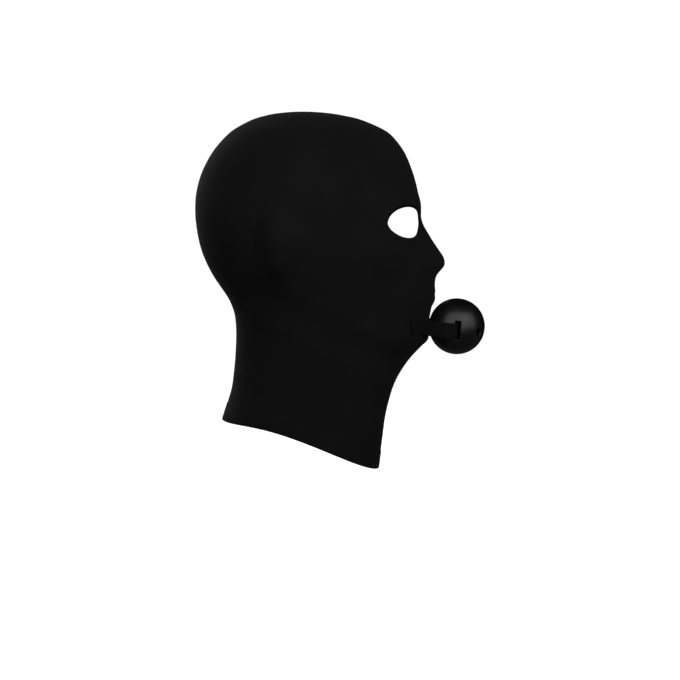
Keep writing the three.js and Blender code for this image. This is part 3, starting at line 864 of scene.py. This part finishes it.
def add_node(tree, kind, **inputs):
    """A node with its inputs set by name: sockets are linked and values are written."""
    node = tree.nodes.new(kind)
    for name, value in inputs.items():
        socket = node.inputs[name.replace("_", " ")]
        if isinstance(value, bpy.types.NodeSocket):
            tree.links.new(value, socket)
        else:
            socket.default_value = value
    return node


def stitch_tree():
    """Sews stitches along the edges of a guide mesh, flat on the direction in its facing attribute."""
    tree = bpy.data.node_groups.new("row_of_stitches", "GeometryNodeTree")
    face = tree.interface
    face.new_socket("Geometry", in_out="INPUT", socket_type="NodeSocketGeometry")
    for name in ("Pitch", "Length", "Thread"):
        face.new_socket(name, in_out="INPUT", socket_type="NodeSocketFloat")
    face.new_socket("Material", in_out="INPUT", socket_type="NodeSocketMaterial")
    face.new_socket("Geometry", in_out="OUTPUT", socket_type="NodeSocketGeometry")
    given = tree.nodes.new("NodeGroupInput").outputs
    path = add_node(tree, "GeometryNodeMeshToCurve", Mesh=given["Geometry"])
    spaced = tree.nodes.new("GeometryNodeResampleCurve")
    spaced.mode = "LENGTH"
    tree.links.new(path.outputs["Curve"], spaced.inputs["Curve"])
    tree.links.new(given["Pitch"], spaced.inputs["Length"])
    facing = tree.nodes.new("GeometryNodeInputNamedAttribute")
    facing.data_type = "FLOAT_VECTOR"
    facing.inputs["Name"].default_value = "facing"
    tangent = tree.nodes.new("GeometryNodeInputTangent")
    turn = tree.nodes.new("FunctionNodeAxesToRotation")
    turn.primary_axis = "X"
    turn.secondary_axis = "Z"
    tree.links.new(tangent.outputs["Tangent"], turn.inputs["Primary Axis"])
    tree.links.new(facing.outputs["Attribute"], turn.inputs["Secondary Axis"])
    grain = add_node(tree, "GeometryNodeMeshUVSphere", Segments=8, Rings=6, Radius=0.5)
    size = add_node(tree, "ShaderNodeCombineXYZ", X=given["Length"], Y=given["Thread"], Z=given["Thread"])
    stitch = add_node(
        tree, "GeometryNodeTransform", Geometry=grain.outputs["Mesh"], Scale=size.outputs["Vector"]
    )
    sewn = add_node(
        tree,
        "GeometryNodeInstanceOnPoints",
        Points=spaced.outputs["Curve"],
        Instance=stitch.outputs["Geometry"],
        Rotation=turn.outputs["Rotation"],
    )
    real = add_node(tree, "GeometryNodeRealizeInstances", Geometry=sewn.outputs["Instances"])
    round_ = add_node(tree, "GeometryNodeSetShadeSmooth", Geometry=real.outputs["Geometry"])
    finish = add_node(
        tree, "GeometryNodeSetMaterial", Geometry=round_.outputs["Geometry"], Material=given["Material"]
    )
    out = tree.nodes.new("NodeGroupOutput")
    tree.links.new(finish.outputs["Geometry"], out.inputs["Geometry"])
    return tree


STITCHES = stitch_tree()


def sew(name, rows, material):
    """A piece of stitches along rows, each a list of (point, outward direction), open or closed."""
    points, facings, edges = [], [], []
    for row, closed in rows:
        start = len(points)
        points += [tuple(map(float, p - n * STITCH_SINK)) for p, n in row]
        facings += [tuple(map(float, n)) for _, n in row]
        edges += [(start + i, start + i + 1) for i in range(len(row) - 1)]
        if closed:
            edges.append((len(points) - 1, start))
    mesh = bpy.data.meshes.new(name)
    mesh.from_pydata(points, edges, [])
    facing = mesh.attributes.new("facing", "FLOAT_VECTOR", "POINT")
    facing.data.foreach_set("vector", np.array(facings).ravel())
    piece = new_object(name, mesh)
    sewing = piece.modifiers.new("stitches", "NODES")
    sewing.node_group = STITCHES
    values = {"Pitch": STITCH_PITCH, "Length": STITCH_LENGTH, "Thread": STITCH_THREAD, "Material": material}
    for item in STITCHES.interface.items_tree:
        if item.in_out == "INPUT" and item.name in values:
            sewing[item.identifier] = values[item.name]
    return baked(piece)


def hem_row(height):
    """A row of stitches right round the neck at a height above the hem's edge."""
    turns, sides = turn_columns()
    hem = form_point(np.full_like(turns, HEM), turns, sides)

    def higher(level):
        return np.linalg.norm(form_point(level, turns, sides) - hem, axis=-1) > height

    start = np.full_like(turns, HEM - HEM_SEARCH)
    level = last_passing(start, np.full_like(turns, HEM), higher, EDGE_HALVINGS)
    points = fabric_point(level, turns, sides)
    normals = normal_of(form_point, level, turns, sides)
    return list(zip(points, normals)), True


def eye_row(side, away, outer_face):
    """A row of stitches round an eye hole at a distance outside its edge."""
    middle, across, up, out = EYES[side]
    row = []
    for turn in np.linspace(0, 2 * np.pi, EYE_ROW_POINTS, endpoint=False):
        a = (EYE_WIDTH / 2 + away) * math.cos(turn)
        b = (EYE_HEIGHT / 2 + away) * math.sin(turn)
        start = middle + across * a + up * b + out * EYE_WIDTH
        place, normal, _, _ = outer_face.ray_cast(Vector(start), Vector(-out))
        if place is not None:
            row.append((np.array(place), np.array(normal)))
    return row, True


def tab_rows():
    """An oblong of stitches on each sewn end of the strap."""
    stations = tab_stations()
    rows = []
    for side in (1, -1):
        row = []
        for picked, share in ((stations[1:-1], STRAP_LINE), (stations[-2:0:-1], -STRAP_LINE)):
            for station in picked:
                turned = station if side > 0 else mirrored(station)
                row.append(on_strap(turned, share, STRAP_THICKNESS - STRAP_LINE_DEPTH))
        rows.append((row, True))
    return rows


# Finishes
KNIT_WALE = 0.55 * MM  # breadth of one column of knitted loops
KNIT_COURSE = 0.42 * MM
KNIT_SLANT = 1.3  # how far the loops lean, in courses to a wale
KNIT_LOOP = 0.35  # height of the loops against that of the columns
WEAVE_RIB = 0.7 * MM
TONE_RANGE = (0.35, 0.65)  # of the noise, from the dark tone to the light one
TONE_DETAIL = 4.0


def new_material(name, **values):
    """A material with its Principled shader's values set by socket name."""
    material = bpy.data.materials.new(name)
    material.use_nodes = True
    shader = material.node_tree.nodes["Principled BSDF"]
    for key, value in values.items():
        shader.inputs[key.replace("_", " ")].default_value = value
    return material, material.node_tree, shader


def math_node(tree, operation, a, b=0.0):
    """The result of a sum in a material. a and b are sockets or numbers."""
    node = tree.nodes.new("ShaderNodeMath")
    node.operation = operation
    for socket, value in zip(node.inputs, (a, b)):
        if isinstance(value, bpy.types.NodeSocket):
            tree.links.new(value, socket)
        else:
            socket.default_value = value
    return node.outputs[0]


def wave(tree, place):
    """A sine wave for each repeat of a place."""
    return math_node(tree, "SINE", math_node(tree, "MULTIPLY", place, 2 * math.pi))


def noise(tree, scale, detail):
    """Noise in the piece's own space."""
    place = tree.nodes.new("ShaderNodeTexCoord").outputs["Object"]
    return add_node(tree, "ShaderNodeTexNoise", Vector=place, Scale=scale, Detail=detail).outputs["Fac"]


def mottled(tree, shader, dark, light, scale):
    """Colour that drifts between two tones over the piece."""
    ramp = add_node(tree, "ShaderNodeValToRGB", Fac=noise(tree, scale, TONE_DETAIL))
    for stop, position, tone in zip(ramp.color_ramp.elements, TONE_RANGE, (dark, light)):
        stop.position = position
        stop.color = (*tone, 1)
    tree.links.new(ramp.outputs["Color"], shader.inputs["Base Color"])


def raised(tree, shader, height, distance, strength):
    """Bump from a height between 0 and 1."""
    relief = add_node(tree, "ShaderNodeBump", Height=height, Strength=strength, Distance=distance)
    tree.links.new(relief.outputs["Normal"], shader.inputs["Normal"])


def knit_material():
    """Fine matte black stretch knit: slanted loops in columns, with a faint sheen."""
    material, tree, shader = new_material(
        "black_stretch_knit", Roughness=0.85, Sheen_Weight=0.02, Sheen_Roughness=0.45, Specular_IOR_Level=0.05
    )
    mottled(tree, shader, dark=(0.0053, 0.0053, 0.0055), light=(0.007, 0.0069, 0.0071), scale=14.0)
    across, along = uv_in(tree, KNIT_WALE, KNIT_COURSE)
    wale = math_node(tree, "ABSOLUTE", math_node(tree, "SINE", math_node(tree, "MULTIPLY", across, math.pi)))
    slant = math_node(tree, "ABSOLUTE", math_node(tree, "SUBTRACT", math_node(tree, "FRACT", across), 0.5))
    phase = math_node(tree, "ADD", along, math_node(tree, "MULTIPLY", slant, KNIT_SLANT))
    loops = math_node(tree, "MULTIPLY", wave(tree, phase), KNIT_LOOP)
    height = math_node(tree, "ADD", wale, loops)
    raised(tree, shader, height, distance=0.06 * MM, strength=0.55)
    return material


def uv_in(tree, across, along):
    """The two UV coordinates, counted in repeats of the given lengths."""
    place = tree.nodes.new("ShaderNodeUVMap")
    place.uv_map = "weave"
    apart = add_node(tree, "ShaderNodeSeparateXYZ", Vector=place.outputs["UV"])
    return (
        math_node(tree, "DIVIDE", apart.outputs["X"], across),
        math_node(tree, "DIVIDE", apart.outputs["Y"], along),
    )


def webbing_material():
    """Matte black woven band with fine ribs across it."""
    material, tree, shader = new_material(
        "black_woven_band", Roughness=0.75, Sheen_Weight=0.02, Sheen_Roughness=0.4, Specular_IOR_Level=0.05
    )
    mottled(tree, shader, dark=(0.0035, 0.0035, 0.0036), light=(0.0048, 0.0048, 0.005), scale=60.0)
    across, along = uv_in(tree, WEAVE_RIB, WEAVE_RIB)
    height = math_node(tree, "MULTIPLY", wave(tree, along), wave(tree, across))
    raised(tree, shader, height, distance=0.08 * MM, strength=0.7)
    return material


def plastic_material():
    """Black moulded plastic with a satin gloss and very slight unevenness."""
    material, tree, shader = new_material("black_satin_plastic", Roughness=0.35, Specular_IOR_Level=0.5)
    mottled(tree, shader, dark=(0.0035, 0.0035, 0.004), light=(0.0045, 0.0045, 0.0052), scale=40.0)
    raised(tree, shader, noise(tree, scale=900.0, detail=3.0), distance=0.04 * MM, strength=0.35)
    return material


def thread_material():
    """Black sewing thread, nearly matte, with an uneven surface."""
    material, tree, shader = new_material("black_thread", Roughness=0.6, Specular_IOR_Level=0.15)
    mottled(tree, shader, dark=(0.0055, 0.0055, 0.0058), light=(0.0075, 0.0075, 0.0078), scale=300.0)
    raised(tree, shader, noise(tree, scale=4000.0, detail=2.0), distance=0.05 * MM, strength=0.6)
    return material


# The studio
PHOTO_SPAN = 680 * 0.84 * MM  # breadth and height of the view at the object
VIEW_MIDDLE = Vector((31.1 * MM, 0, -189.5 * MM))
VIEW_DISTANCE = 1.5
VIEW_AZIMUTH = math.radians(1.65)
VIEW_ELEVATION = math.radians(3.0)
FLOOR_HEIGHT = -380 * MM
FLOOR_REACH = 9.0
SENSOR = 36.0
CLIP_NEAR, CLIP_FAR = 0.1, 60
SURROUND = 1.05  # brightness of the floor and of what is round it
LIGHTS = (  # name, place, the point that it is aimed at, breadth and height, brightness
    ("key", (0.04, -0.47, 0.07), (0.04, 0, -110 * MM), (0.95, 0.76), 1.35),
    ("right", (0.85, -0.5, 0.2), (120 * MM, 0, -178 * MM), (0.75, 0.9), 1.3),
    ("bounce", (0.15, -0.3, -0.37), (0.15, -0.3, 0), (1.8, 1.3), 0.06),
    ("behind", (-1.15, 1.15, 0.5), (10 * MM, 0, -130 * MM), (1.3, 1.3), 2.2),
)


def make_camera():
    """The camera, at the photograph's angle."""
    data = bpy.data.cameras.new("camera")
    data.sensor_width = SENSOR
    data.lens = SENSOR * VIEW_DISTANCE / PHOTO_SPAN
    data.clip_start = CLIP_NEAR
    data.clip_end = CLIP_FAR
    camera = new_object("camera", data)
    level = math.cos(VIEW_ELEVATION)
    away = Vector((math.sin(VIEW_AZIMUTH) * level, -math.cos(VIEW_AZIMUTH) * level, math.sin(VIEW_ELEVATION)))
    camera.location = VIEW_MIDDLE + away * VIEW_DISTANCE
    camera.rotation_mode = "QUATERNION"
    camera.rotation_quaternion = (-away).to_track_quat("-Z", "Y")
    bpy.context.scene.camera = camera


def make_light(name, place, aim, size, brightness):
    """A soft light of a given surface brightness at a place, aimed at a point."""
    data = bpy.data.lights.new(name, "AREA")
    data.shape = "RECTANGLE"
    data.size, data.size_y = size
    data.energy = brightness * math.pi * size[0] * size[1]
    light = new_object(name, data)
    light.location = place
    light.rotation_mode = "QUATERNION"
    light.rotation_quaternion = (Vector(aim) - Vector(place)).to_track_quat("-Z", "Y")
    light.visible_camera = False


def make_studio():
    """A wide pale floor under a white surround, and soft lights on four sides."""
    floor_material, _, shader = new_material("pale_floor", Roughness=0.9, Specular_IOR_Level=0.1)
    shader.inputs["Base Color"].default_value = (0.9, 0.9, 0.9, 1)
    shader.inputs["Emission Color"].default_value = (1, 1, 1, 1)
    shader.inputs["Emission Strength"].default_value = SURROUND
    r, h = FLOOR_REACH, FLOOR_HEIGHT
    corners = [(-r, -r, h), (r, -r, h), (r, r, h), (-r, r, h)]
    floor = new_mesh("floor", corners, [[0, 1, 2, 3]], floor_material)
    floor.visible_glossy = False
    floor.visible_diffuse = False
    world = bpy.data.worlds.new("surround")
    bpy.context.scene.world = world
    world.use_nodes = True
    background = world.node_tree.nodes["Background"]
    background.inputs["Color"].default_value = (1, 1, 1, 1)
    background.inputs["Strength"].default_value = SURROUND
    world.cycles_visibility.diffuse = False
    world.cycles_visibility.glossy = False
    for light in LIGHTS:
        make_light(*light)
    bpy.context.scene.view_settings.view_transform = "Standard"
    bpy.context.scene.view_settings.look = "None"


make_camera()
make_studio()

knit, webbing = knit_material(), webbing_material()
plastic, thread = plastic_material(), thread_material()

hood = make_hood(knit)
strap = make_strap(webbing)
ball = make_ball(plastic)

hood_face = BVHTree.FromObject(hood, bpy.context.evaluated_depsgraph_get())
hem_stitches = sew("hem_stitches", [hem_row(height) for height in HEM_ROWS], thread)
eye_rows = [eye_row(side, away, hood_face) for side in EYES for away in EYE_ROWS]
eye_stitches = sew("eye_hole_stitches", eye_rows, thread)
strap_stitches = sew("strap_stitches", tab_rows(), thread)

for piece, node, slot in (
    (hood, "hood", "hood_fabric"),
    (strap, "gag_strap", "strap_fabric"),
    (ball, "gag_ball", "ball_plastic"),
    (hem_stitches, None, "hood_fabric"),
    (eye_stitches, None, "hood_fabric"),
    (strap_stitches, None, "strap_fabric"),
):
    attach(piece, "root")
    if node:
        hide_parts(node)
